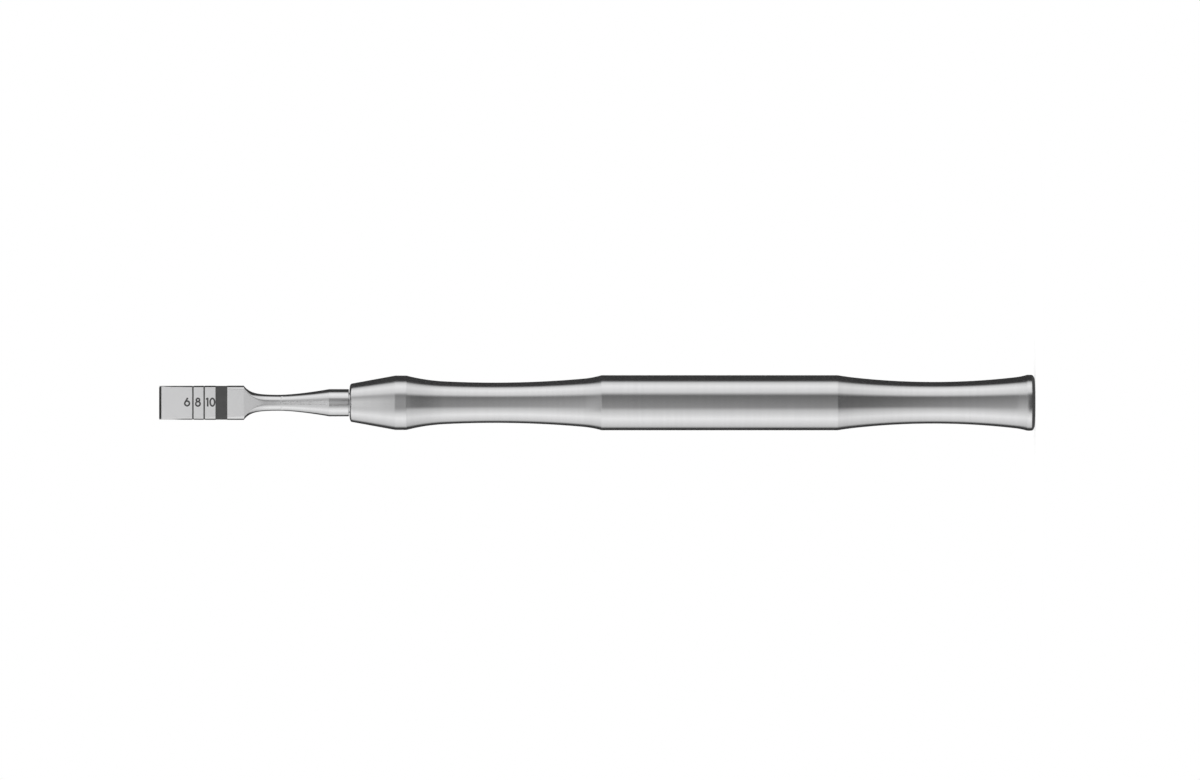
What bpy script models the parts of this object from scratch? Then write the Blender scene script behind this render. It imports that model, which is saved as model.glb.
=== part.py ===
"""Osteotome: a flat bone chisel with a round steel handle, standing on its striking face.

Metres, +Z up. The tool's axis is Z, the origin is the centre of the striking face, and the
cutting edge is at the top. The blade is widest along X, and its marked face looks towards -Y.
A profile is a list of (radius, height) points that runs down the outer side of the piece.
"""
import math

import bmesh
import bpy

# Handle: heights are above the striking face
RIM_RADIUS = 0.00497
RIM_HEIGHT = 0.00138
RIM_CORNER_WIDTH = 0.0016
RIM_CORNER_HEIGHT = 0.0007
REAR_WAIST_RADIUS = 0.0037
REAR_WAIST_HEIGHT = 0.01797
REAR_WAIST_CURVE = 0.1256
REAR_WAIST_REAR_FLARE = 0.0020
REAR_WAIST_FRONT_FLARE = 0.0032
GRIP_RADIUS = 0.00489
GRIP_REAR = 0.0349
GRIP_FRONT = 0.0767
FRONT_WAIST_RADIUS = 0.00358
FRONT_WAIST_HEIGHT = 0.09566
FRONT_WAIST_CURVE = 0.1756
FRONT_WAIST_REAR_FLARE = 0.0032
FRONT_WAIST_FRONT_FLARE = 0.0067
COLLAR_RADIUS = 0.00483
COLLAR_REAR = 0.1112
COLLAR_FRONT = 0.1132
NOSE_RADIUS = 0.00334
NOSE_HEIGHT = 0.1213
NOSE_CORNER_WIDTH = 0.0010
NOSE_CORNER_HEIGHT = 0.00045
SOCKET_RADIUS = 0.0019
SOCKET_DEPTH = 0.0230
DRILL_POINT_ANGLE = math.radians(118)

# Working tip: lengths are measured back from the cutting edge
TIP_LENGTH = 0.0337
SEAT_GAP = 0.0001
TANG_CLEARANCE = 0.0001
TANG_LENGTH = 0.0215
TANG_CHAMFER = 0.0004
SHANK_RADIUS = 0.00242
SHANK_LENGTH = 0.0036
TAPER_LENGTH = 0.0086
TAPER_CURVE = 1.45
NECK_RADIUS = 0.0014
SHOULDER_REACH = 0.00125
BLADE_LENGTH = 0.0150
BLADE_ROOT_WIDTH = 0.00609
BLADE_EDGE_WIDTH = 0.00600
FLAT_OVER_NECK = 0.0001
ROOT_CHAMFER = 0.00062
BEVEL_LENGTH = 0.00042
BEVEL_THICKNESS = 0.00026
EDGE_THICKNESS = 0.00004

# Depth marks, also measured back from the cutting edge
LINE_DEPTHS = (0.006, 0.008)
LINE_WIDTH = 0.00027
BAND_START = 0.0100
BAND_END = 0.0121
MARK_RECESS = 0.00004

# Fineness of the mesh
SEGMENTS = 48
CORNER_STEPS = 12
NECK_STEPS = 20
NECK_GATHER = 1.4
WAIST_STEPS = 9
FLARE_STEPS = 5
SHARP_ANGLE = math.radians(14)

# Room that the blank and the cutter have beyond the finished shape
STOCK = 0.001

EDGE_HEIGHT = NOSE_HEIGHT + TIP_LENGTH
SEAT_HEIGHT = NOSE_HEIGHT + SEAT_GAP
TAPER_FRONT = TIP_LENGTH - SHANK_LENGTH - TAPER_LENGTH


def remove_scene_objects():
    for obj in list(bpy.data.objects):
        bpy.data.objects.remove(obj, do_unlink=True)


def metal(name, colour, roughness):
    material = bpy.data.materials.new(name)
    material.use_nodes = True
    shader = material.node_tree.nodes["Principled BSDF"]
    shader.inputs["Base Color"].default_value = (*colour, 1.0)
    shader.inputs["Roughness"].default_value = roughness
    shader.inputs["Metallic"].default_value = 1.0
    return material


def soft_corner(start, corner, end):
    """Curve from start to end, which touches the lines from both to the corner between them."""
    points = []
    for step in range(CORNER_STEPS + 1):
        share = step / CORNER_STEPS
        weights = ((1 - share) ** 2, 2 * share * (1 - share), share**2)
        radius = sum(weight * point[0] for weight, point in zip(weights, (start, corner, end)))
        height = sum(weight * point[1] for weight, point in zip(weights, (start, corner, end)))
        points.append((radius, height))
    return points


def flare(start, slope, end):
    """Points beyond start, which leave it at the given slope and bend steadily to reach end."""
    radius, height = start
    length = end[1] - height
    bend = end[0] - radius - slope * length
    points = []
    for step in range(1, FLARE_STEPS + 1):
        share = step / FLARE_STEPS
        points.append((radius + slope * length * share + bend * share**2, height + length * share))
    return points


def waist(front, rear, middle, curve, front_flare, rear_flare):
    """Hollow from the front corner down to the rear one: a long arc, thinnest at middle, and two flares."""

    def on_arc(height):
        away = height - middle[1]
        return middle[0] + curve - math.sqrt(curve**2 - away**2)

    def slope_at(height):
        away = height - middle[1]
        return away / math.sqrt(curve**2 - away**2)

    arc_front = front[1] - front_flare
    arc_rear = rear[1] + rear_flare
    points = flare((on_arc(arc_front), arc_front), slope_at(arc_front), front)[::-1]
    for step in range(WAIST_STEPS + 1):
        height = arc_front + (arc_rear - arc_front) * step / WAIST_STEPS
        points.append((on_arc(height), height))
    points += flare((on_arc(arc_rear), arc_rear), slope_at(arc_rear), rear)
    return points


def nose_profile():
    """Flat front of the nose, its soft corner and the cone behind it, down to the collar."""
    slope = (COLLAR_RADIUS - NOSE_RADIUS) / (NOSE_HEIGHT - COLLAR_FRONT)
    on_front = (NOSE_RADIUS - NOSE_CORNER_WIDTH, NOSE_HEIGHT)
    on_cone = (NOSE_RADIUS + slope * NOSE_CORNER_HEIGHT, NOSE_HEIGHT - NOSE_CORNER_HEIGHT)
    return soft_corner(on_front, (NOSE_RADIUS, NOSE_HEIGHT), on_cone) + [(COLLAR_RADIUS, COLLAR_FRONT)]


def socket_profile():
    """Blind drilled hole for the tang, from its point up to its mouth in the nose."""
    floor = NOSE_HEIGHT - SOCKET_DEPTH
    point = floor - SOCKET_RADIUS / math.tan(DRILL_POINT_ANGLE / 2)
    return [(0.0, point), (SOCKET_RADIUS, floor), (SOCKET_RADIUS, NOSE_HEIGHT)]


def handle_profile():
    front_waist = waist(
        front=(COLLAR_RADIUS, COLLAR_REAR),
        rear=(GRIP_RADIUS, GRIP_FRONT),
        middle=(FRONT_WAIST_RADIUS, FRONT_WAIST_HEIGHT),
        curve=FRONT_WAIST_CURVE,
        front_flare=FRONT_WAIST_FRONT_FLARE,
        rear_flare=FRONT_WAIST_REAR_FLARE,
    )
    rear_waist = waist(
        front=(GRIP_RADIUS, GRIP_REAR),
        rear=(RIM_RADIUS, RIM_HEIGHT),
        middle=(REAR_WAIST_RADIUS, REAR_WAIST_HEIGHT),
        curve=REAR_WAIST_CURVE,
        front_flare=REAR_WAIST_FRONT_FLARE,
        rear_flare=REAR_WAIST_REAR_FLARE,
    )
    on_side = (RIM_RADIUS, RIM_CORNER_HEIGHT)
    on_face = (RIM_RADIUS - RIM_CORNER_WIDTH, 0.0)
    rim = soft_corner(on_side, (RIM_RADIUS, 0.0), on_face)
    return socket_profile() + nose_profile() + front_waist + rear_waist + rim + [(0.0, 0.0)]


def marks():
    """Start and end of every depth mark, measured back from the cutting edge."""
    lines = [(depth - LINE_WIDTH / 2, depth + LINE_WIDTH / 2) for depth in LINE_DEPTHS]
    return lines + [(BAND_START, BAND_END)]


def with_recesses(half_width_at, start, end, recess=MARK_RECESS):
    """Outline from start to end back from the edge, sunk by the recess at every mark between them."""
    points = [(half_width_at(start), start)]
    for mark_start, mark_end in marks():
        if start < mark_start and mark_end < end:
            points += [
                (half_width_at(mark_start), mark_start),
                (half_width_at(mark_start) - recess, mark_start),
                (half_width_at(mark_end) - recess, mark_end),
                (half_width_at(mark_end), mark_end),
            ]
    points.append((half_width_at(end), end))
    return points


def between(start, end, place):
    """Value at place on the straight line through the points start and end."""
    share = (place - start[1]) / (end[1] - start[1])
    return start[0] + (end[0] - start[0]) * share


def blade_side(depth):
    """Half the blade's width at this distance back from the cutting edge."""
    return between((BLADE_EDGE_WIDTH / 2, 0.0), (BLADE_ROOT_WIDTH / 2, BLADE_LENGTH), depth)


def neck_radius(depth):
    """Radius behind the blade: the shoulder fades away to the neck, and the taper widens it to the shank."""
    shoulder = (BLADE_ROOT_WIDTH / 2 - NECK_RADIUS) * math.exp((BLADE_LENGTH - depth) / SHOULDER_REACH)
    taper = (SHANK_RADIUS - NECK_RADIUS) * (max(0.0, depth - TAPER_FRONT) / TAPER_LENGTH) ** TAPER_CURVE
    return NECK_RADIUS + shoulder + taper


def neck_profile():
    """From the blade's root corner back to the shank, with the points gathered at the shoulder."""
    length = TIP_LENGTH - SHANK_LENGTH - BLADE_LENGTH
    points = []
    for step in range(1, NECK_STEPS + 1):
        depth = BLADE_LENGTH + length * (step / NECK_STEPS) ** NECK_GATHER
        points.append((neck_radius(depth), depth))
    return points


def tang_profile():
    """Tang that seats in the handle's socket, behind the shank's square shoulder."""
    radius = SOCKET_RADIUS - TANG_CLEARANCE
    seat = EDGE_HEIGHT - SEAT_HEIGHT
    end = seat + TANG_LENGTH
    return [
        (SHANK_RADIUS, seat),
        (radius, seat),
        (radius, end - TANG_CHAMFER),
        (radius - TANG_CHAMFER, end),
        (0.0, end),
    ]


def tip_blank_profile():
    """Turned blank of the tip, with some stock left in front of the cutting edge."""
    stock = [(0.0, -STOCK), (blade_side(-STOCK), -STOCK)]
    blade = with_recesses(blade_side, 0.0, BLADE_LENGTH)[1:]
    outline = stock + blade + neck_profile() + tang_profile()
    return [(radius, EDGE_HEIGHT - depth) for radius, depth in outline]


def wedge_outline():
    """Half thickness of the tip from the cutting edge back: honed bevel, wedge, and clear of the neck."""
    flat = NECK_RADIUS + FLAT_OVER_NECK

    def wedge(depth):
        return between((BEVEL_THICKNESS / 2, BEVEL_LENGTH), (flat, BLADE_LENGTH), depth)

    clear = SHANK_RADIUS + STOCK
    tip_end = EDGE_HEIGHT - SEAT_HEIGHT + TANG_LENGTH + STOCK
    outline = [(EDGE_THICKNESS / 2, 0.0)]
    outline += with_recesses(wedge, BEVEL_LENGTH, BLADE_LENGTH)
    outline += [(flat, TAPER_FRONT), (clear, TAPER_FRONT), (clear, tip_end)]
    return [(half, EDGE_HEIGHT - depth) for half, depth in outline]


def chamfer_profile():
    """Square block on its corner, whose faces break the blade's four long edges at 45 degrees.

    The chamfers start from nothing at the cutting edge and are widest at the blade's root.
    """
    at_edge = (BLADE_EDGE_WIDTH + EDGE_THICKNESS) / 2
    at_root = BLADE_ROOT_WIDTH / 2 + NECK_RADIUS + FLAT_OVER_NECK - ROOT_CHAMFER

    def reach(depth):
        return between((at_edge, 0.0), (at_root, BLADE_LENGTH), depth)

    tip_end = EDGE_HEIGHT - SEAT_HEIGHT + TANG_LENGTH + STOCK
    stock = [(0.0, -STOCK), (reach(-STOCK), -STOCK)]
    blade = with_recesses(reach, 0.0, BLADE_LENGTH, math.sqrt(2) * MARK_RECESS)[1:]
    outline = stock + blade + [(at_root, tip_end), (0.0, tip_end)]
    return [(radius, EDGE_HEIGHT - depth) for radius, depth in outline]


def turned(name, profile, sides=SEGMENTS):
    """Closed body of revolution about Z, or a block with a few flat sides."""
    mesh = bpy.data.meshes.new(name)
    edges = [(index, index + 1) for index in range(len(profile) - 1)]
    mesh.from_pydata([(radius, 0.0, height) for radius, height in profile], edges, [])
    obj = bpy.data.objects.new(name, mesh)
    bpy.context.collection.objects.link(obj)
    screw = obj.modifiers.new("turning", "SCREW")
    screw.steps = sides
    screw.render_steps = sides
    screw.use_merge_vertices = True
    screw.merge_threshold = 0.000001
    return obj


def milling_block(name, half_outline, half_length):
    """Block along X whose section is the half outline and its mirror image."""
    section = half_outline + [(-half, height) for half, height in reversed(half_outline)]
    shape = bmesh.new()
    corners = [shape.verts.new((-half_length, y, z)) for y, z in section]
    face = shape.faces.new(corners)
    extruded = bmesh.ops.extrude_face_region(shape, geom=[face])
    moved = [item for item in extruded["geom"] if isinstance(item, bmesh.types.BMVert)]
    bmesh.ops.translate(shape, verts=moved, vec=(2 * half_length, 0.0, 0.0))
    bmesh.ops.recalc_face_normals(shape, faces=shape.faces)
    mesh = bpy.data.meshes.new(name)
    shape.to_mesh(mesh)
    shape.free()
    obj = bpy.data.objects.new(name, mesh)
    bpy.context.collection.objects.link(obj)
    return obj


def keep_common(obj, block, name):
    """Cuts away what lies outside the block."""
    block.hide_render = True
    block.display_type = "WIRE"
    milling = obj.modifiers.new(name, "BOOLEAN")
    milling.operation = "INTERSECT"
    milling.solver = "EXACT"
    milling.object = block


def apply_modifiers(obj):
    """Gives the object the mesh that its modifiers make, with smooth rounds and sharp corners."""
    depsgraph = bpy.context.evaluated_depsgraph_get()
    mesh = bpy.data.meshes.new_from_object(obj.evaluated_get(depsgraph))
    mesh.name = obj.name
    obj.modifiers.clear()
    obj.data = mesh
    mesh.shade_smooth()
    mesh.set_sharp_from_angle(angle=SHARP_ANGLE)


def colour_marks(mesh):
    """Gives the floor of every depth mark the second material."""
    for polygon in mesh.polygons:
        depth = EDGE_HEIGHT - polygon.center.z
        if abs(polygon.normal.z) < 0.5 and any(start < depth < end for start, end in marks()):
            polygon.material_index = 1


def make_handle():
    handle = turned("handle", handle_profile())
    apply_modifiers(handle)
    handle.data.materials.append(metal("handle_steel", (0.62, 0.62, 0.63), 0.28))
    return handle


def make_working_tip():
    tip = turned("working_tip", tip_blank_profile())
    wedge = milling_block("wedge_block", wedge_outline(), BLADE_ROOT_WIDTH / 2 + STOCK)
    diamond = turned("chamfer_block", chamfer_profile(), sides=4)
    keep_common(tip, wedge, "milled_flats")
    keep_common(tip, diamond, "chamfered_edges")
    apply_modifiers(tip)
    bpy.data.objects.remove(wedge, do_unlink=True)
    bpy.data.objects.remove(diamond, do_unlink=True)
    tip.data.materials.append(metal("tip_steel", (0.66, 0.66, 0.67), 0.32))
    tip.data.materials.append(metal("mark_steel", (0.07, 0.07, 0.075), 0.5))
    colour_marks(tip.data)
    return tip


def main():
    remove_scene_objects()
    make_handle()
    make_working_tip()


main()
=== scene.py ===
import math

import bpy
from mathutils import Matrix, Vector


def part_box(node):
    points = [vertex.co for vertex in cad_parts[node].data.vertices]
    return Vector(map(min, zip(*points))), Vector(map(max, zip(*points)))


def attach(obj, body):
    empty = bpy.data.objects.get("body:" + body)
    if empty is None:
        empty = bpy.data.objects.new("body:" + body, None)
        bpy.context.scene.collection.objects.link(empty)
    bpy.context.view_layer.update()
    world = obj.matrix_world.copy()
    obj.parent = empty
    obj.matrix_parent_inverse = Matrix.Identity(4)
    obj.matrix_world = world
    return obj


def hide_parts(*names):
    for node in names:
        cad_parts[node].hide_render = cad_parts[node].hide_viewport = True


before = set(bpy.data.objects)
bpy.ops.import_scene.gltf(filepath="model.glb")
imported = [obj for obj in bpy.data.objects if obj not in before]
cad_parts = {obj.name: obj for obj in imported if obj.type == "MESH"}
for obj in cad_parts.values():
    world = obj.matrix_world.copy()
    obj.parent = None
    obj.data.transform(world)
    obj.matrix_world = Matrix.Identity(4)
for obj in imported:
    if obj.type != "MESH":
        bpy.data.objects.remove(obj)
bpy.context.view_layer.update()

HANDLE_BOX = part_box("handle")
TIP_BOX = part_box("working_tip")

# Sizes read from the frame
RIM_RADIUS = HANDLE_BOX[1][0]
NOSE_HEIGHT = HANDLE_BOX[1][2]
EDGE_HEIGHT = TIP_BOX[1][2]
TANG_END = EDGE_HEIGHT - TIP_BOX[0][2]

# Handle, as in the part's source
RIM_HEIGHT = 0.00138
RIM_CORNER = (0.0016, 0.0007)
REAR_WAIST = (0.0037, 0.01797)
REAR_WAIST_CURVE = 0.1256
REAR_WAIST_FLARES = (0.0032, 0.0020)
GRIP_RADIUS = 0.00489
GRIP_REAR = 0.0349
GRIP_FRONT = 0.0767
FRONT_WAIST = (0.00358, 0.09566)
FRONT_WAIST_CURVE = 0.1756
FRONT_WAIST_FLARES = (0.0067, 0.0032)
COLLAR_RADIUS = 0.00483
COLLAR_REAR = 0.1112
COLLAR_FRONT = 0.1132
NOSE_RADIUS = 0.00334
NOSE_CORNER = (0.0010, 0.00045)
SOCKET_RADIUS = 0.0019
SOCKET_DEPTH = 0.0230
SOCKET_POINT = 0.00114

# Working tip, as in the part's source
SEAT_DEPTH = 0.0336
TANG_RADIUS = 0.0018
TANG_CHAMFER = 0.0004
SHANK_RADIUS = 0.00242
SHANK_FRONT = 0.0301
TAPER_LENGTH = 0.0086
TAPER_CURVE = 1.45
NECK_RADIUS = 0.0014
SHOULDER_REACH = 0.00125
BLADE_LENGTH = 0.0150
BLADE_ROOT_HALF = 0.003045
BLADE_EDGE_HALF = 0.0030
FLAT_HALF = 0.0015
ROOT_CHAMFER = 0.00062
BEVEL_LENGTH = 0.00042
BEVEL_HALF = 0.00013
EDGE_HALF = 0.00002

# Depth marks
LINE_DEPTHS = (0.006, 0.008)
LINE_WIDTH = 0.00027
BAND = (0.0100, 0.0121)
MARK_RECESS = 0.00004

# Start of the taper, which is softer than the source's
TAPER_FRONT = SHANK_FRONT - TAPER_LENGTH
TAPER_LEAD = 0.0008
TAPER_SOFTNESS = 0.3

# Soft edges: reach of the handle's turns, of the creases beside the tip's flats and of its other creases
EASE = 0.00010
BLADE_CREASE = 0.00012
NECK_CREASE = 0.00009
SIDE_EASE = 0.00005

# Narrow lands between the blade's chamfers and its sides: width, and least and greatest slope
SIDE_LAND = 0.00021
LAND_ANGLES = (math.radians(20), math.radians(36))

# Fineness of the meshes, and the least angle of an edge that stays sharp
HANDLE_SIDES = 256
CURVE_STEPS = 20
WAIST_STEPS = 44
EASE_STEPS = 6
SHARP_ANGLE = math.radians(32)

# Points round a quarter of the tip, on its side, chamfer and flat, limits to the angles where these meet, and
# the least sine or cosine that a length is divided by
SIDE_STEPS = 14
CHAMFER_STEPS = 14
FLAT_STEPS = 26
LEAST_TURN = math.radians(0.8)
STEEPEST_CREASE = math.radians(80)
LEAST_DIVISOR = 0.01

# Rings of the tip: spacing in front of and in the depth marks, and behind them the depth that each run of
# rings reaches and its spacing
BEVEL_GAP = 0.00002
BLADE_SPACING = 0.00018
MARK_SPACING = 0.0002
FINE_SPACING = 0.00006
ROOT_GAP = 0.00004
SHOULDER_LENGTH = 0.0039
RINGS_BEHIND_MARKS = (
    (BLADE_LENGTH - ROOT_GAP, BLADE_SPACING),
    (BLADE_LENGTH, ROOT_GAP),
    (BLADE_LENGTH + ROOT_GAP, ROOT_GAP),
    (BLADE_LENGTH + SHOULDER_LENGTH, FINE_SPACING),
    (TAPER_FRONT, 0.0002),
    (SHANK_FRONT - FINE_SPACING, 0.00022),
    (SHANK_FRONT, FINE_SPACING),
    (SHANK_FRONT + FINE_SPACING, FINE_SPACING),
    (SEAT_DEPTH - 2 * EASE, 0.0006),
)

# Numerals on the blade's marked flat, as strokes: points are (depth, distance towards +X), and rings have a
# centre and half their size along the depth and towards +X
STROKE_WIDTH = 0.00029
STROKE_LIFT = 0.000006
STROKE_SINK = 0.00003
RING_POINTS = 56
LINE_STEPS = 10
SIX_BOWL = (0.00497, -0.00011)
SIX_RADIUS = 0.000415
SIX_STEM_ANGLE = math.radians(149)
SIX_STEM_TOP = (0.00509, 0.00087)
EIGHT_LOWER = ((0.00689, -0.00019), 0.000385, 0.000385)
EIGHT_UPPER = ((0.00689, 0.00050), 0.000285, 0.000275)
ONE_STEM = ((0.00862, -0.00067), (0.00862, 0.00088))
ONE_FLAG = ((0.00834, 0.00060), (0.00862, 0.00080))
NOUGHT = ((0.00945, 0.00010), 0.00040, 0.00067)

# Steels: colour, roughness and anisotropy, which streaks the highlights round the axis
HANDLE_STEEL = ((0.76, 0.76, 0.765), 0.19, 0.7)
TIP_STEEL = ((0.78, 0.78, 0.785), 0.17, 0.6)
GROUND_STEEL = ((0.78, 0.78, 0.785), 0.33, 0.2)
HONED_STEEL = ((0.80, 0.80, 0.805), 0.14, 0.0)
ROUND_THE_AXIS = 0.25

# Tool lines in the steel: pitch and depth of the fine and of the coarse ones, and how often they change
# across the tool. The clouds are the slightly uneven polish.
FINE_PITCH = 0.00009
FINE_DEPTH = 0.00000025
COARSE_PITCH = 0.0005
COARSE_DEPTH = 0.0000006
CHANGES_PER_METRE = 90.0
CLOUDS_PER_METRE = 300.0

# Least and greatest share of the steel's colour that the clouds leave, and what the lines and clouds add
CLOUD_TONES = (0.985, 1.0)
COARSE_TONES = (-0.012, 0.012)
FINE_TONES = (-0.01, 0.01)
ROUGHNESS_CHANGES = (-0.01, 0.01)

# Most of a noise texture lies between these two values
NOISE_SPREAD = (0.3, 0.7)

# Laser marks: grains and patches per metre, brightness, roughness, shine and the grain's relief
GRAINS_PER_METRE = 14000.0
PATCHES_PER_METRE = 900.0
PATCH_TONES = (0.062, 0.072)
GRAIN_TONES = (-0.008, 0.008)
MARK_ROUGHNESS = (0.5, 0.62)
MARK_SPECULAR = 0.25
MARK_RELIEF = 0.000002
MARK_RELIEF_STRENGTH = 0.6

# Places of the tip's materials after its plain steel, and how squarely a ground flat looks forward or back
MARK_SLOT = 1
GROUND_SLOT = 2
HONED_SLOT = 3
FLAT_FACING = 0.985

# Photograph: where the tool lies in its frame
PHOTO_SIZE = (1200, 780)
PIXELS_PER_METRE = 5650.0
STRIKING_FACE_X = 1034.85
AXIS_Y = 402.75

# Camera
CAMERA_DISTANCE = 3.0
SENSOR_WIDTH = 36.0
CLIP_RANGE = (0.01, 20.0)

# Floor: radius and sides of the disc, its speckles, and the glow that only the camera sees
FLOOR_RADIUS = 0.05
FLOOR_SIDES = 128
SPECKLES_PER_METRE = 400.0
FLOOR_LEVELS = (0.54, 0.56)
FLOOR_GLOW = 0.50

# Studio that only the metal mirrors, by azimuth from the camera's side: +90 is +X and the picture's top, and
# 180 is behind the tool. A soft box stands at each side, given by its first edge, middle and last edge, and
# by the level at its edges and its middle. Both dim a little above and below the tool's own level. Heights are
# parts of a unit direction.
BLACK_LEVEL = 0.04
SOFT_BOXES = (
    (-126, -70, -27, 0.65, 1.05),
    (38, 74, 98, 0.80, 1.05),
)
BOX_EDGE = 7
BOX_FADE = ((-0.2, 0.8), (0.0, 1.0), (0.25, 0.9))

# Grey screen in front of the tool, darker towards the picture's top and brighter with height
FRONT_SCREEN = ((-34, 0.0), (-20, 0.28), (31, 0.12), (45, 0.0))
FRONT_RISE = ((-0.2, 0.35), (0.0, 1.0), (0.25, 1.6))

# Other surfaces of the studio: colour, and the two heights of a unit direction between which its soft edge
# lies. The upper screen and the ceiling start above theirs, and the ground below its own. The white backdrop's
# edge is given by the cosines of two angles from straight behind the tool.
SCREEN = (0.05, 0.05, 0.05, 1.0)
SCREEN_EDGE = (0.78, 0.88)
CEILING = (0.5, 0.5, 0.5, 1.0)
CEILING_EDGE = (0.97, 0.99)
GROUND = (0.85, 0.85, 0.85, 1.0)
GROUND_EDGE = (-0.66, -0.52)
WHITE = (1.0, 1.0, 1.0, 1.0)
BACKDROP_EDGE = (math.cos(math.radians(13)), math.cos(math.radians(9)))

# Card close in front of the tool, seen only in reflections: dark at the foot, clear before most of the
# handle, thin before the front waist, full and graded before the nose and the tip, and dark above them. It
# fades towards both sides. Each stop has its height, its brightness and how much of the studio it hides.
CARD_Y = -0.06
CARD_SIDES = (-0.062, 0.056)
CARD_FADES = (0.045, 0.050)
CARD = (
    (-0.020, 0.1, 1.0),
    (0.009, 0.1, 1.0),
    (0.013, 0.1, 0.0),
    (0.088, 0.5, 0.0),
    (0.093, 0.5, 0.2),
    (0.104, 0.5, 0.2),
    (0.112, 0.3, 1.0),
    (0.134, 0.45, 1.0),
    (0.142, 0.8, 1.0),
    (0.156, 0.7, 1.0),
    (0.178, 1.2, 1.0),
    (0.181, 0.02, 1.0),
    (0.207, 0.02, 1.0),
    (0.214, 0.02, 0.0),
)

# Dark disc under the striking end, which only the rounded rim mirrors: a painted contact shadow, the floor's
# shade next to the foot as the metal sees it
SHADE_RADIUS = 0.0062
SHADE_SIDES = 96
SHADE_DEPTH = 0.00002
SHADE_LEVEL = 0.075


def soft_corner(start, corner, end, steps=CURVE_STEPS):
    """Curve from start to end, which touches the lines from both to the corner between them."""
    points = []
    for step in range(steps + 1):
        share = step / steps
        first = Vector(start).lerp(Vector(corner), share)
        second = Vector(corner).lerp(Vector(end), share)
        points.append(tuple(first.lerp(second, share)))
    return points


def flare(start, slope, end):
    """Points beyond start, which leave it at the given slope and bend steadily to reach end."""
    radius, height = start
    length = end[1] - height
    bend = end[0] - radius - slope * length
    points = []
    for step in range(1, CURVE_STEPS + 1):
        share = step / CURVE_STEPS
        points.append((radius + slope * length * share + bend * share**2, height + length * share))
    return points


def waist(front, rear, middle, curve, flares):
    """Hollow from the front corner down to the rear one: a long arc, thinnest at middle, and two flares."""

    def on_arc(height):
        away = height - middle[1]
        return middle[0] + curve - math.sqrt(curve**2 - away**2)

    def slope_at(height):
        away = height - middle[1]
        return away / math.sqrt(curve**2 - away**2)

    arc_front = front[1] - flares[0]
    arc_rear = rear[1] + flares[1]
    points = flare((on_arc(arc_front), arc_front), slope_at(arc_front), front)[::-1]
    for step in range(WAIST_STEPS + 1):
        height = arc_front + (arc_rear - arc_front) * step / WAIST_STEPS
        points.append((on_arc(height), height))
    points += flare((on_arc(arc_rear), arc_rear), slope_at(arc_rear), rear)
    return points


def towards(point, other, reach):
    """Point at most reach away from point, on the way to other and never past its middle."""
    step = Vector(other) - Vector(point)
    return Vector(point) + step * min(0.5, reach / step.length)


def eased(profile, corners):
    """Profile with a small soft turn in place of each named corner, and a support ring beyond each turn."""
    points = []
    for index, point in enumerate(profile):
        if point not in corners:
            points.append(point)
            continue
        before = towards(point, profile[index - 1], EASE)
        after = towards(point, profile[index + 1], EASE)
        points.append(tuple(towards(point, profile[index - 1], 2 * EASE)))
        points += soft_corner(before, point, after, EASE_STEPS)
        points.append(tuple(towards(point, profile[index + 1], 2 * EASE)))
    return points


def handle_profile():
    """Handle from the point of its socket, out over the nose and down to the middle of the striking face."""
    slope = (COLLAR_RADIUS - NOSE_RADIUS) / (NOSE_HEIGHT - COLLAR_FRONT)
    on_front = (NOSE_RADIUS - NOSE_CORNER[0], NOSE_HEIGHT)
    on_cone = (NOSE_RADIUS + slope * NOSE_CORNER[1], NOSE_HEIGHT - NOSE_CORNER[1])
    floor = NOSE_HEIGHT - SOCKET_DEPTH
    mouth = (SOCKET_RADIUS, NOSE_HEIGHT)
    collar_front = (COLLAR_RADIUS, COLLAR_FRONT)
    collar_rear = (COLLAR_RADIUS, COLLAR_REAR)
    grip_front = (GRIP_RADIUS, GRIP_FRONT)
    grip_rear = (GRIP_RADIUS, GRIP_REAR)
    rim = (RIM_RADIUS, RIM_HEIGHT)
    profile = [(0.0, floor - SOCKET_POINT), (SOCKET_RADIUS, floor), mouth]
    profile += soft_corner(on_front, (NOSE_RADIUS, NOSE_HEIGHT), on_cone)
    profile.append(collar_front)
    profile += waist(collar_rear, grip_front, FRONT_WAIST, FRONT_WAIST_CURVE, FRONT_WAIST_FLARES)
    profile += waist(grip_rear, rim, REAR_WAIST, REAR_WAIST_CURVE, REAR_WAIST_FLARES)
    on_face = (RIM_RADIUS - RIM_CORNER[0], 0.0)
    profile += soft_corner((RIM_RADIUS, RIM_CORNER[1]), (RIM_RADIUS, 0.0), on_face)
    profile.append((0.0, 0.0))
    return eased(profile, {mouth, collar_front, collar_rear, grip_front, grip_rear, rim})


def new_object(name, points, faces):
    mesh = bpy.data.meshes.new(name)
    mesh.from_pydata(points, [], faces)
    mesh.validate()
    obj = bpy.data.objects.new(name, mesh)
    bpy.context.scene.collection.objects.link(obj)
    return obj


def loft(name, rings):
    """Closed body through rings of equal length from the top down, with the first and last closed by fans."""
    count = len(rings[0])
    points = [point for ring in rings for point in ring]
    faces = []
    for ring in range(len(rings) - 1):
        upper = ring * count
        lower = upper + count
        for side in range(count):
            other = (side + 1) % count
            faces.append((upper + side, lower + side, lower + other, upper + other))
    for ring, start in ((rings[0], 0), (rings[-1], (len(rings) - 1) * count)):
        centre = len(points)
        points.append(tuple(sum(axis) / count for axis in zip(*ring)))
        for side in range(count):
            other = (side + 1) % count
            edge = (start + side, start + other) if start == 0 else (start + other, start + side)
            faces.append((centre, *edge))
    return new_object(name, points, faces)


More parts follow.
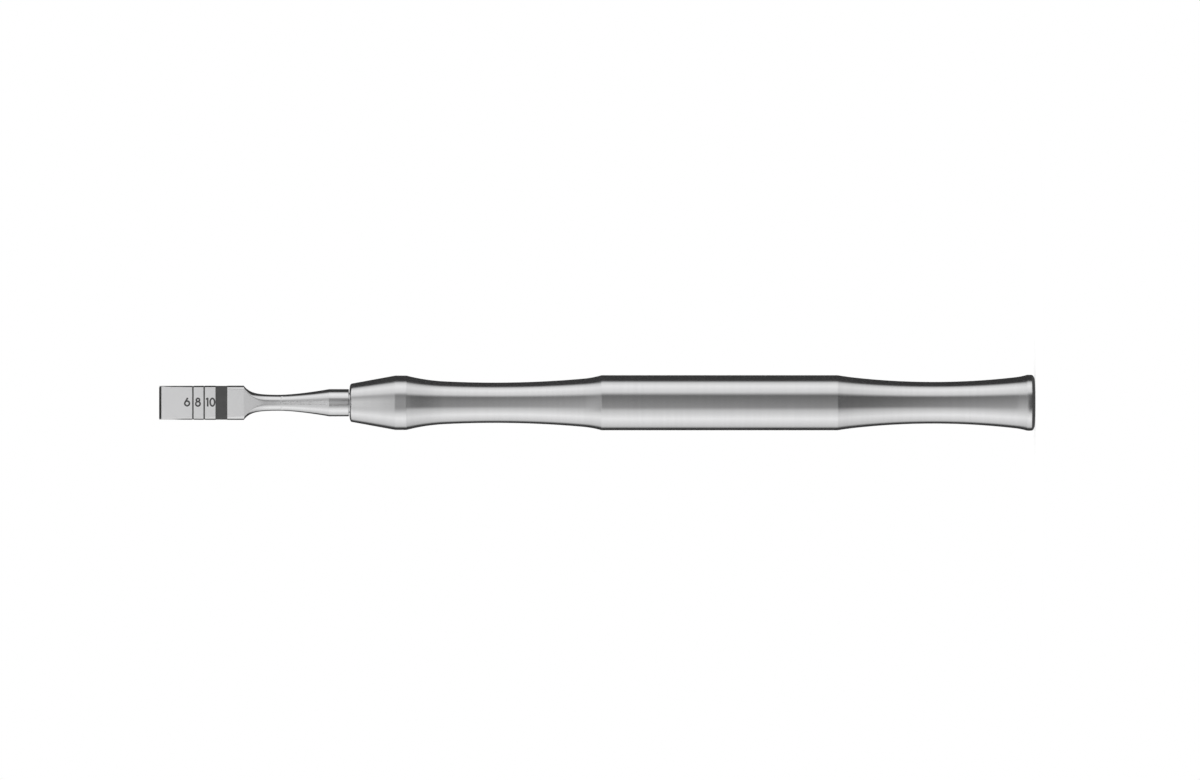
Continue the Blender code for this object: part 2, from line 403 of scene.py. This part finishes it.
def turned(name, profile, sides):
    """Body of revolution about Z, from a profile that starts and ends on the axis."""
    rings = []
    for radius, height in profile[1:-1]:
        angles = [2 * math.pi * side / sides for side in range(sides)]
        rings.append([(radius * math.cos(angle), radius * math.sin(angle), height) for angle in angles])
    body = loft(name, rings)
    body.data.vertices[-2].co.z = profile[0][1]
    body.data.vertices[-1].co.z = profile[-1][1]
    return body


def between(start, end, share):
    return start + (end - start) * share


def marks():
    lines = [(depth - LINE_WIDTH / 2, depth + LINE_WIDTH / 2) for depth in LINE_DEPTHS]
    return lines + [BAND]


def taper_rise(depth):
    """Share of the taper's rise at this depth: the source's power curve with a softer start."""
    share = max(0.0, depth - TAPER_FRONT + TAPER_LEAD) / (TAPER_LENGTH + TAPER_LEAD)
    rise, whole = ((reach**2 + TAPER_SOFTNESS**2) ** (TAPER_CURVE / 2) for reach in (share, 1.0))
    start = TAPER_SOFTNESS**TAPER_CURVE
    return (rise - start) / (whole - start)


def blank_radius(depth):
    """Radius of the tip before its flats and chamfers are cut."""
    if depth <= BLADE_LENGTH:
        return between(BLADE_EDGE_HALF, BLADE_ROOT_HALF, depth / BLADE_LENGTH)
    if depth > SHANK_FRONT:
        return SHANK_RADIUS
    shoulder = (BLADE_ROOT_HALF - NECK_RADIUS) * math.exp((BLADE_LENGTH - depth) / SHOULDER_REACH)
    return NECK_RADIUS + shoulder + (SHANK_RADIUS - NECK_RADIUS) * taper_rise(depth)


def flat_half(depth):
    """Half the thickness between the two flats."""
    if depth < BEVEL_LENGTH:
        return between(EDGE_HALF, BEVEL_HALF, depth / BEVEL_LENGTH)
    if depth < BLADE_LENGTH:
        return between(BEVEL_HALF, FLAT_HALF, (depth - BEVEL_LENGTH) / (BLADE_LENGTH - BEVEL_LENGTH))
    return FLAT_HALF


def chamfer_reach(depth):
    """Sum of |x| and |y| on the chamfers."""
    at_edge = BLADE_EDGE_HALF + EDGE_HALF
    at_root = BLADE_ROOT_HALF + FLAT_HALF - ROOT_CHAMFER
    return between(at_edge, at_root, min(1.0, depth / BLADE_LENGTH))


def land(depth):
    """Slope and distance from the axis of the narrow lands between the chamfers and the sides."""
    side = blank_radius(depth)
    inner = side - SIDE_LAND
    up = min(flat_half(depth), chamfer_reach(depth) - inner)
    angle = min(max(math.atan2(SIDE_LAND, up), LAND_ANGLES[0]), LAND_ANGLES[1])
    return angle, max(side * math.cos(angle), inner * math.cos(angle) + up * math.sin(angle))


def soft_min(first, second, softness):
    """Smaller of two lengths, with a soft change from one to the other."""
    overlap = max(softness - abs(first - second), 0.0) / softness
    return min(first, second) - overlap**2 * softness / 4


def section_angles(radius, flat, reach):
    """Angles in the first quarter of a section, gathered where its side, chamfer and flat meet."""
    flat_crease = min(math.asin(min(1.0, flat / radius)), STEEPEST_CREASE)
    low = math.asin(min(1.0, reach / (radius * math.sqrt(2)))) - math.pi / 4
    high = math.atan2(flat, reach - flat)
    if high - low < LEAST_TURN:
        low = flat_crease - LEAST_TURN / 2
        high = flat_crease + LEAST_TURN / 2
    low = max(low, LEAST_TURN)
    high = max(high, low + LEAST_TURN)
    stretches = ((0.0, low, SIDE_STEPS), (low, high, CHAMFER_STEPS), (high, math.pi / 2, FLAT_STEPS))
    angles = []
    for start, end, count in stretches:
        for step in range(count):
            share = (1 - math.cos(math.pi * step / count)) / 2
            angles.append(between(start, end, share))
    return angles + [math.pi / 2]


def tip_section(depth, recess):
    """Ring of the tip at this depth: a circle with two flats and four chamfers."""
    radius = blank_radius(depth)
    flat = flat_half(depth)
    reach = chamfer_reach(depth)
    on_blade = depth < BLADE_LENGTH
    land_angle, land_reach = land(depth) if on_blade else (0.0, 2 * radius)
    crease = BLADE_CREASE if on_blade else NECK_CREASE
    if depth > TAPER_FRONT:
        flat = 2 * SHANK_RADIUS
    quarter = []
    for angle in section_angles(radius, flat, reach):
        across = math.cos(angle)
        up = math.sin(angle)
        length = soft_min(radius - recess, (reach - math.sqrt(2) * recess) / (across + up), SIDE_EASE)
        land_turn = max(LEAST_DIVISOR, math.cos(angle - land_angle))
        length = soft_min(length, (land_reach - recess) / land_turn, SIDE_EASE)
        if up > LEAST_DIVISOR:
            length = soft_min(length, (flat - recess) / up, crease)
        quarter.append((length * across, length * up))
    height = EDGE_HEIGHT - depth
    first = [(x, y, height) for x, y in quarter]
    second = [(-x, y, height) for x, y in reversed(quarter[:-1])]
    third = [(-x, -y, height) for x, y in quarter[1:]]
    fourth = [(x, -y, height) for x, y in reversed(quarter[1:-1])]
    return first + second + third + fourth


def steps_between(start, end, spacing):
    """Depths after start up to and with end, at about the given spacing."""
    count = max(1, round((end - start) / spacing))
    return [start + (end - start) * step / count for step in range(1, count + 1)]


def tip_stations():
    """Depth and recess of every ring of the tip, from the cutting edge back to its seat."""
    bevel = steps_between(0.0, BEVEL_LENGTH - BEVEL_GAP, FINE_SPACING)
    stations = [(depth, 0.0) for depth in [0.0] + bevel + [BEVEL_LENGTH, BEVEL_LENGTH + BEVEL_GAP]]
    for start, end in marks():
        for depth in steps_between(stations[-1][0], start, BLADE_SPACING):
            stations.append((depth, 0.0))
        stations += [(depth, MARK_RECESS) for depth in [start] + steps_between(start, end, MARK_SPACING)]
        stations.append((end, 0.0))
    for end, spacing in RINGS_BEHIND_MARKS:
        for depth in steps_between(stations[-1][0], end, spacing):
            stations.append((depth, 0.0))
    return stations


def tip_rings():
    """Rings of the tip, of its eased seat and of its tang."""
    stations = tip_stations()
    rings = [tip_section(depth, recess) for depth, recess in stations]
    last = stations[-1][0]
    circle = [Vector(point) / SHANK_RADIUS for point in rings[-1]]
    before_seat = (SHANK_RADIUS, -(SEAT_DEPTH - EASE))
    on_seat = (SHANK_RADIUS - EASE, -SEAT_DEPTH)
    seat = soft_corner(before_seat, (SHANK_RADIUS, -SEAT_DEPTH), on_seat, EASE_STEPS)
    tang = [
        (TANG_RADIUS, -SEAT_DEPTH),
        (TANG_RADIUS, -(TANG_END - TANG_CHAMFER)),
        (TANG_RADIUS - TANG_CHAMFER, -TANG_END),
    ]
    for radius, height in seat + tang:
        rings.append([(point.x * radius, point.y * radius, EDGE_HEIGHT + height) for point in circle])
    return rings, stations


def smooth(obj):
    obj.data.shade_smooth()
    obj.data.set_sharp_from_angle(angle=SHARP_ANGLE)


def ring_stroke(centre, half_along, half_up):
    """Oval path of a numeral, and that it is closed."""
    angles = [2 * math.pi * step / RING_POINTS for step in range(RING_POINTS)]
    return [(centre[0] + half_along * math.cos(a), centre[1] + half_up * math.sin(a)) for a in angles], True


def line_stroke(start, end):
    """Straight path of a numeral, and that it isn't closed."""
    shares = [step / LINE_STEPS for step in range(LINE_STEPS + 1)]
    return [(between(start[0], end[0], share), between(start[1], end[1], share)) for share in shares], False


def stroke_sides(path, closed):
    """Left and right edge of a stroke, point by point."""
    sides = []
    count = len(path)
    for index in range(count):
        before = path[index - 1] if closed or index else path[index]
        after = path[(index + 1) % count] if closed or index + 1 < count else path[index]
        along = Vector((after[0] - before[0], after[1] - before[1])).normalized()
        offset = Vector((-along.y, along.x)) * STROKE_WIDTH / 2
        middle = Vector(path[index])
        sides.append((middle + offset, middle - offset))
    return sides


def stroke_solid(name, path, closed):
    """Thin plate along a stroke, which lies in the blade's front flat and stands out by a hair."""
    points = []
    for left, right in stroke_sides(path, closed):
        for side in (left, right):
            for lift in (STROKE_LIFT, -STROKE_SINK):
                points.append((side.y, -(flat_half(side.x) + lift), EDGE_HEIGHT - side.x))
    count = len(path)
    faces = []
    for index in range(count if closed else count - 1):
        here = 4 * index
        there = 4 * ((index + 1) % count)
        for first, second in ((0, 1), (1, 3), (3, 2), (2, 0)):
            faces.append((here + first, here + second, there + second, there + first))
    if not closed:
        last = 4 * (count - 1)
        faces.append((0, 2, 3, 1))
        faces.append((last, last + 1, last + 3, last + 2))
    return new_object(name, points, faces)


def numeral(name, strokes):
    """One piece from several strokes, joined by Boolean unions."""
    solids = [stroke_solid(f"{name}_{index}", path, closed) for index, (path, closed) in enumerate(strokes)]
    piece = solids[0]
    piece.name = name
    for other in solids[1:]:
        union = piece.modifiers.new("union", "BOOLEAN")
        union.operation = "UNION"
        union.solver = "EXACT"
        union.object = other
    depsgraph = bpy.context.evaluated_depsgraph_get()
    mesh = bpy.data.meshes.new_from_object(piece.evaluated_get(depsgraph))
    piece.modifiers.clear()
    piece.data = mesh
    for other in solids[1:]:
        bpy.data.objects.remove(other, do_unlink=True)
    return piece


def make_numerals():
    """Plain scale numbers 6, 8 and 10, each just in front of its own depth mark."""
    stem_foot = (
        SIX_BOWL[0] + SIX_RADIUS * math.cos(SIX_STEM_ANGLE),
        SIX_BOWL[1] + SIX_RADIUS * math.sin(SIX_STEM_ANGLE),
    )
    strokes = {
        "numeral_6": [ring_stroke(SIX_BOWL, SIX_RADIUS, SIX_RADIUS), line_stroke(stem_foot, SIX_STEM_TOP)],
        "numeral_8": [ring_stroke(*EIGHT_LOWER), ring_stroke(*EIGHT_UPPER)],
        "numeral_10_one": [line_stroke(*ONE_STEM), line_stroke(*ONE_FLAG)],
        "numeral_10_nought": [ring_stroke(*NOUGHT)],
    }
    return [numeral(name, paths) for name, paths in strokes.items()]


class Nodes:
    """Small helper that adds nodes to a tree and links them.

    An input is given by its name with _ for each space, or by its place as _0, _1 and so on.
    """

    def __init__(self, tree):
        self.tree = tree

    def add(self, kind, settings=None, **inputs):
        node = self.tree.nodes.new(kind)
        for name, value in (settings or {}).items():
            setattr(node, name, value)
        for name, value in inputs.items():
            key = int(name[1:]) if name[0] == "_" else name.replace("_", " ")
            self.put(value, node.inputs[key])
        return node

    def put(self, value, socket):
        if isinstance(value, bpy.types.NodeSocket):
            self.tree.links.new(value, socket)
        else:
            socket.default_value = value

    def calculate(self, operation, first, second=0.0):
        return self.add("ShaderNodeMath", {"operation": operation}, _0=first, _1=second).outputs[0]

    def rescale(self, value, low, high, to_low, to_high):
        """Value held between low and high and scaled to lie between to_low and to_high."""
        limits = {"From_Min": low, "From_Max": high, "To_Min": to_low, "To_Max": to_high}
        return self.add("ShaderNodeMapRange", Value=value, **limits).outputs["Result"]

    def noise(self, place, scale, detail):
        return self.add("ShaderNodeTexNoise", Vector=place, Scale=scale, Detail=detail).outputs["Fac"]

    def spread(self, noise, low, high):
        """Noise spread out so that most of it lies between low and high."""
        return self.rescale(noise, *NOISE_SPREAD, low, high)

    def grey(self, level):
        tint = self.add("ShaderNodeCombineColor")
        for socket in tint.inputs[:3]:
            self.put(level, socket)
        return tint.outputs[0]

    def surface(self, shader, output="ShaderNodeOutputMaterial"):
        self.put(shader.outputs[0], self.add(output).inputs["Surface"])

    def blend(self, factor, first, second):
        node = self.add("ShaderNodeMix", {"data_type": "RGBA"}, Factor=factor, _6=first, _7=second)
        return node.outputs[2]

    def ramp(self, value, stops):
        """Grey level that follows the stops, each a position from 0 to 1 and its level."""
        node = self.add("ShaderNodeValToRGB", Fac=value)
        elements = node.color_ramp.elements
        while len(elements) < len(stops):
            elements.new(0.5)
        for element, (position, level) in zip(elements, stops):
            element.position = position
            element.color = (level, level, level, 1.0)
        return node.outputs["Color"]


def new_material(name):
    material = bpy.data.materials.new(name)
    material.use_nodes = True
    material.node_tree.nodes.clear()
    return material, Nodes(material.node_tree)


def tool_lines(nodes, pitch):
    """Noise that changes along the axis and outwards but hardly round it, as turned surfaces do."""
    place = nodes.add("ShaderNodeTexCoord").outputs["Object"]
    split = nodes.add("ShaderNodeSeparateXYZ", Vector=place).outputs
    squares = [nodes.calculate("MULTIPLY", axis, axis) for axis in split[:2]]
    out = nodes.calculate("SQRT", nodes.calculate("ADD", *squares))
    travel = nodes.calculate("ADD", split[2], out)
    vector = nodes.add("ShaderNodeCombineXYZ")
    nodes.put(nodes.calculate("MULTIPLY", split[0], CHANGES_PER_METRE), vector.inputs[0])
    nodes.put(nodes.calculate("MULTIPLY", split[1], CHANGES_PER_METRE), vector.inputs[1])
    nodes.put(nodes.calculate("MULTIPLY", travel, 1.0 / pitch), vector.inputs[2])
    return nodes.noise(vector.outputs[0], 1.0, 1.0)


def steel(name, colour, roughness, anisotropy):
    """Satin stainless steel with fine tool lines, coarser ones and a slightly uneven polish."""
    material, nodes = new_material(name)
    fine = tool_lines(nodes, FINE_PITCH)
    coarse = tool_lines(nodes, COARSE_PITCH)
    place = nodes.add("ShaderNodeTexCoord").outputs["Object"]
    clouds = nodes.noise(place, CLOUDS_PER_METRE, 3.0)
    level = nodes.calculate("ADD", nodes.spread(coarse, *COARSE_TONES), nodes.spread(clouds, *CLOUD_TONES))
    level = nodes.calculate("ADD", level, nodes.spread(fine, *FINE_TONES))
    tint = nodes.add("ShaderNodeVectorMath", {"operation": "SCALE"}, _0=colour)
    nodes.put(level, tint.inputs["Scale"])
    changes = [nodes.spread(noise, *ROUGHNESS_CHANGES) for noise in (clouds, fine)]
    rough = nodes.calculate("ADD", nodes.calculate("ADD", *changes), roughness)
    fine_relief = nodes.calculate("MULTIPLY", fine, FINE_DEPTH)
    coarse_relief = nodes.calculate("MULTIPLY", coarse, COARSE_DEPTH)
    relief = nodes.calculate("ADD", fine_relief, coarse_relief)
    bump = nodes.add("ShaderNodeBump", Strength=1.0, Distance=1.0, Height=relief)
    shader = nodes.add("ShaderNodeBsdfPrincipled", Base_Color=tint.outputs[0], Roughness=rough, Metallic=1.0)
    nodes.put(bump.outputs["Normal"], shader.inputs["Normal"])
    shader.inputs["Anisotropic"].default_value = anisotropy
    shader.inputs["Anisotropic Rotation"].default_value = ROUND_THE_AXIS
    tangent = nodes.add("ShaderNodeTangent", {"direction_type": "RADIAL", "axis": "Z"})
    nodes.put(tangent.outputs[0], shader.inputs["Tangent"])
    nodes.surface(shader)
    return material


def laser_mark(name):
    """Steel darkened by a laser: nearly matt, with a faint grain from the beam's passes."""
    material, nodes = new_material(name)
    place = nodes.add("ShaderNodeTexCoord").outputs["Object"]
    grain = nodes.noise(place, GRAINS_PER_METRE, 2.0)
    patches = nodes.noise(place, PATCHES_PER_METRE, 3.0)
    level = nodes.calculate("ADD", nodes.spread(grain, *GRAIN_TONES), nodes.spread(patches, *PATCH_TONES))
    tint = nodes.grey(level)
    rough = nodes.spread(patches, *MARK_ROUGHNESS)
    bump = nodes.add("ShaderNodeBump", Strength=MARK_RELIEF_STRENGTH, Distance=MARK_RELIEF, Height=grain)
    shader = nodes.add("ShaderNodeBsdfPrincipled", Base_Color=tint, Roughness=rough, Metallic=0.0)
    shader.inputs["Specular IOR Level"].default_value = MARK_SPECULAR
    nodes.put(bump.outputs["Normal"], shader.inputs["Normal"])
    nodes.surface(shader)
    return material


def paint_tip(tip, sides, stations):
    """Gives the floors of the depth marks, the ground flats and the honed bevels their own materials."""
    for index, (front, rear) in enumerate(zip(stations, stations[1:])):
        for face in tip.data.polygons[index * sides : (index + 1) * sides]:
            if front[1] and rear[1]:
                face.material_index = MARK_SLOT
            elif rear[0] < BEVEL_LENGTH + BEVEL_GAP / 2:
                face.material_index = HONED_SLOT
            elif abs(face.normal.y) > FLAT_FACING and blank_radius(rear[0]) > FLAT_HALF:
                face.material_index = GROUND_SLOT


def make_tool():
    """Both pieces of the tool and its numerals, each with its look and its place in the frame."""
    handle = turned("turned_handle", handle_profile(), HANDLE_SIDES)
    handle.data.materials.append(steel("handle_steel_look", *HANDLE_STEEL))
    smooth(handle)
    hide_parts("handle")
    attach(handle, "root")

    mark = laser_mark("laser_mark_look")
    rings, stations = tip_rings()
    tip = loft("milled_tip", rings)
    tip.data.materials.append(steel("tip_steel_look", *TIP_STEEL))
    tip.data.materials.append(mark)
    tip.data.materials.append(steel("ground_steel_look", *GROUND_STEEL))
    tip.data.materials.append(steel("honed_steel_look", *HONED_STEEL))
    paint_tip(tip, len(rings[0]), stations)
    smooth(tip)
    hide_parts("working_tip")
    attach(tip, "root")

    for piece in make_numerals():
        piece.data.materials.clear()
        piece.data.materials.append(mark)
        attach(piece, "root")


def disc(name, radius, sides, height):
    """Flat round face that looks up."""
    angles = [2 * math.pi * side / sides for side in range(sides)]
    rim = [(radius * math.cos(angle), radius * math.sin(angle), height) for angle in angles]
    return new_object(name, rim, [tuple(range(sides))])


def only_mirrored(obj):
    """Leaves the object in reflections and hides it from everything else."""
    obj.visible_camera = False
    obj.visible_diffuse = False
    obj.visible_shadow = False


def make_floor():
    """Pale round floor under the tool, which reads as white to the camera but for the tool's shadow."""
    material, nodes = new_material("floor_look")
    place = nodes.add("ShaderNodeTexCoord").outputs["Object"]
    speckle = nodes.noise(place, SPECKLES_PER_METRE, 2.0)
    diffuse = nodes.add("ShaderNodeBsdfDiffuse", Color=nodes.grey(nodes.spread(speckle, *FLOOR_LEVELS)))
    seen = nodes.add("ShaderNodeLightPath").outputs["Is Camera Ray"]
    glow = nodes.add("ShaderNodeEmission", Strength=nodes.calculate("MULTIPLY", seen, FLOOR_GLOW))
    both = nodes.add("ShaderNodeAddShader", _0=diffuse.outputs[0], _1=glow.outputs[0])
    nodes.surface(both)
    floor = disc("studio_floor", FLOOR_RADIUS, FLOOR_SIDES, 0.0)
    floor.data.materials.append(material)
    floor.visible_glossy = False


def box_stops():
    """Azimuth and level where each soft box starts, is full at its edge, and is brightest."""
    stops = []
    for first, middle, last, edge_level, middle_level in SOFT_BOXES:
        stops.append((first - BOX_EDGE, 0.0))
        stops.append((first + BOX_EDGE, edge_level))
        stops.append((middle, middle_level))
        stops.append((last - BOX_EDGE, edge_level))
        stops.append((last + BOX_EDGE, 0.0))
    return stops


def studio_light(nodes, split, stops, by_height):
    """Light that follows the stops round the tool, times a share that follows its height."""
    turn = nodes.calculate("ARCTAN2", split[0], nodes.calculate("MULTIPLY", split[1], -1.0))
    azimuth = nodes.rescale(turn, -math.pi, math.pi, 0.0, 1.0)
    height = nodes.rescale(split[2], -1.0, 1.0, 0.0, 1.0)
    level = nodes.ramp(azimuth, [((degrees + 180) / 360, level) for degrees, level in stops])
    share = nodes.ramp(height, [((steepness + 1) / 2, share) for steepness, share in by_height])
    return nodes.calculate("MULTIPLY", level, share)


def make_world():
    """White to the camera and to matt surfaces, while metal sees the studio."""
    world = bpy.data.worlds.new("studio")
    bpy.context.scene.world = world
    world.use_nodes = True
    world.node_tree.nodes.clear()
    nodes = Nodes(world.node_tree)
    direction = nodes.add("ShaderNodeTexCoord").outputs["Generated"]
    split = nodes.add("ShaderNodeSeparateXYZ", Vector=direction).outputs
    boxes = studio_light(nodes, split, box_stops(), BOX_FADE)
    front = studio_light(nodes, split, FRONT_SCREEN, FRONT_RISE)
    studio = nodes.calculate("ADD", BLACK_LEVEL, nodes.calculate("ADD", boxes, front))
    studio = nodes.blend(nodes.rescale(split[2], *SCREEN_EDGE, 0.0, 1.0), studio, SCREEN)
    studio = nodes.blend(nodes.rescale(split[2], *CEILING_EDGE, 0.0, 1.0), studio, CEILING)
    studio = nodes.blend(nodes.rescale(split[2], *GROUND_EDGE, 1.0, 0.0), studio, GROUND)
    studio = nodes.blend(nodes.rescale(split[1], *BACKDROP_EDGE, 0.0, 1.0), studio, WHITE)
    glossy = nodes.add("ShaderNodeLightPath").outputs["Is Glossy Ray"]
    seen = nodes.blend(glossy, WHITE, studio)
    background = nodes.add("ShaderNodeBackground", Color=seen, Strength=1.0)
    nodes.surface(background, "ShaderNodeOutputWorld")


def make_card():
    """Card that glows more in some places than in others and hides the studio behind it, with soft sides."""
    material, nodes = new_material("card_look")
    place = nodes.add("ShaderNodeTexCoord").outputs["Object"]
    split = nodes.add("ShaderNodeSeparateXYZ", Vector=place).outputs
    foot = CARD[0][0]
    top = CARD[-1][0]
    left, right = CARD_SIDES
    height = nodes.rescale(split[2], foot, top, 0.0, 1.0)
    level = nodes.ramp(height, [((stop[0] - foot) / (top - foot), stop[1]) for stop in CARD])
    cover = nodes.ramp(height, [((stop[0] - foot) / (top - foot), stop[2]) for stop in CARD])
    for edge, inside in ((left, left + CARD_FADES[0]), (right, right - CARD_FADES[1])):
        cover = nodes.calculate("MULTIPLY", cover, nodes.rescale(split[0], edge, inside, 0.0, 1.0))
    glow = nodes.add("ShaderNodeEmission", Color=level, Strength=1.0)
    clear = nodes.add("ShaderNodeBsdfTransparent")
    nodes.surface(nodes.add("ShaderNodeMixShader", Fac=cover, _1=clear.outputs[0], _2=glow.outputs[0]))
    corners = [(left, CARD_Y, foot), (right, CARD_Y, foot), (right, CARD_Y, top), (left, CARD_Y, top)]
    card = new_object("front_card", corners, [(0, 1, 2, 3)])
    card.data.materials.append(material)
    only_mirrored(card)


def make_foot_shade():
    """Dark disc under the striking end, seen only in the metal's reflections: a painted contact shadow of the
    floor next to the foot.
    """
    material, nodes = new_material("shade_look")
    nodes.surface(nodes.add("ShaderNodeEmission", Strength=SHADE_LEVEL))
    shade = disc("foot_shade", SHADE_RADIUS, SHADE_SIDES, -SHADE_DEPTH)
    shade.data.materials.append(material)
    only_mirrored(shade)


def make_camera():
    """Long lens level with the tool's middle, turned so that the cutting edge is at the left."""
    data = bpy.data.cameras.new("camera")
    camera = bpy.data.objects.new("camera", data)
    bpy.context.scene.collection.objects.link(camera)
    data.sensor_fit = "HORIZONTAL"
    data.sensor_width = SENSOR_WIDTH
    data.lens = SENSOR_WIDTH * CAMERA_DISTANCE * PIXELS_PER_METRE / PHOTO_SIZE[0]
    data.clip_start = CLIP_RANGE[0]
    data.clip_end = CLIP_RANGE[1]
    height = (STRIKING_FACE_X - PHOTO_SIZE[0] / 2) / PIXELS_PER_METRE
    across = (AXIS_Y - PHOTO_SIZE[1] / 2) / PIXELS_PER_METRE
    camera.location = (across, -CAMERA_DISTANCE, height)
    camera.rotation_euler = (math.radians(90), math.radians(90), 0.0)
    bpy.context.scene.camera = camera


def main():
    make_tool()
    make_floor()
    make_world()
    make_card()
    make_foot_shade()
    make_camera()
    bpy.context.scene.view_settings.view_transform = "Standard"
    bpy.context.view_layer.update()


main()
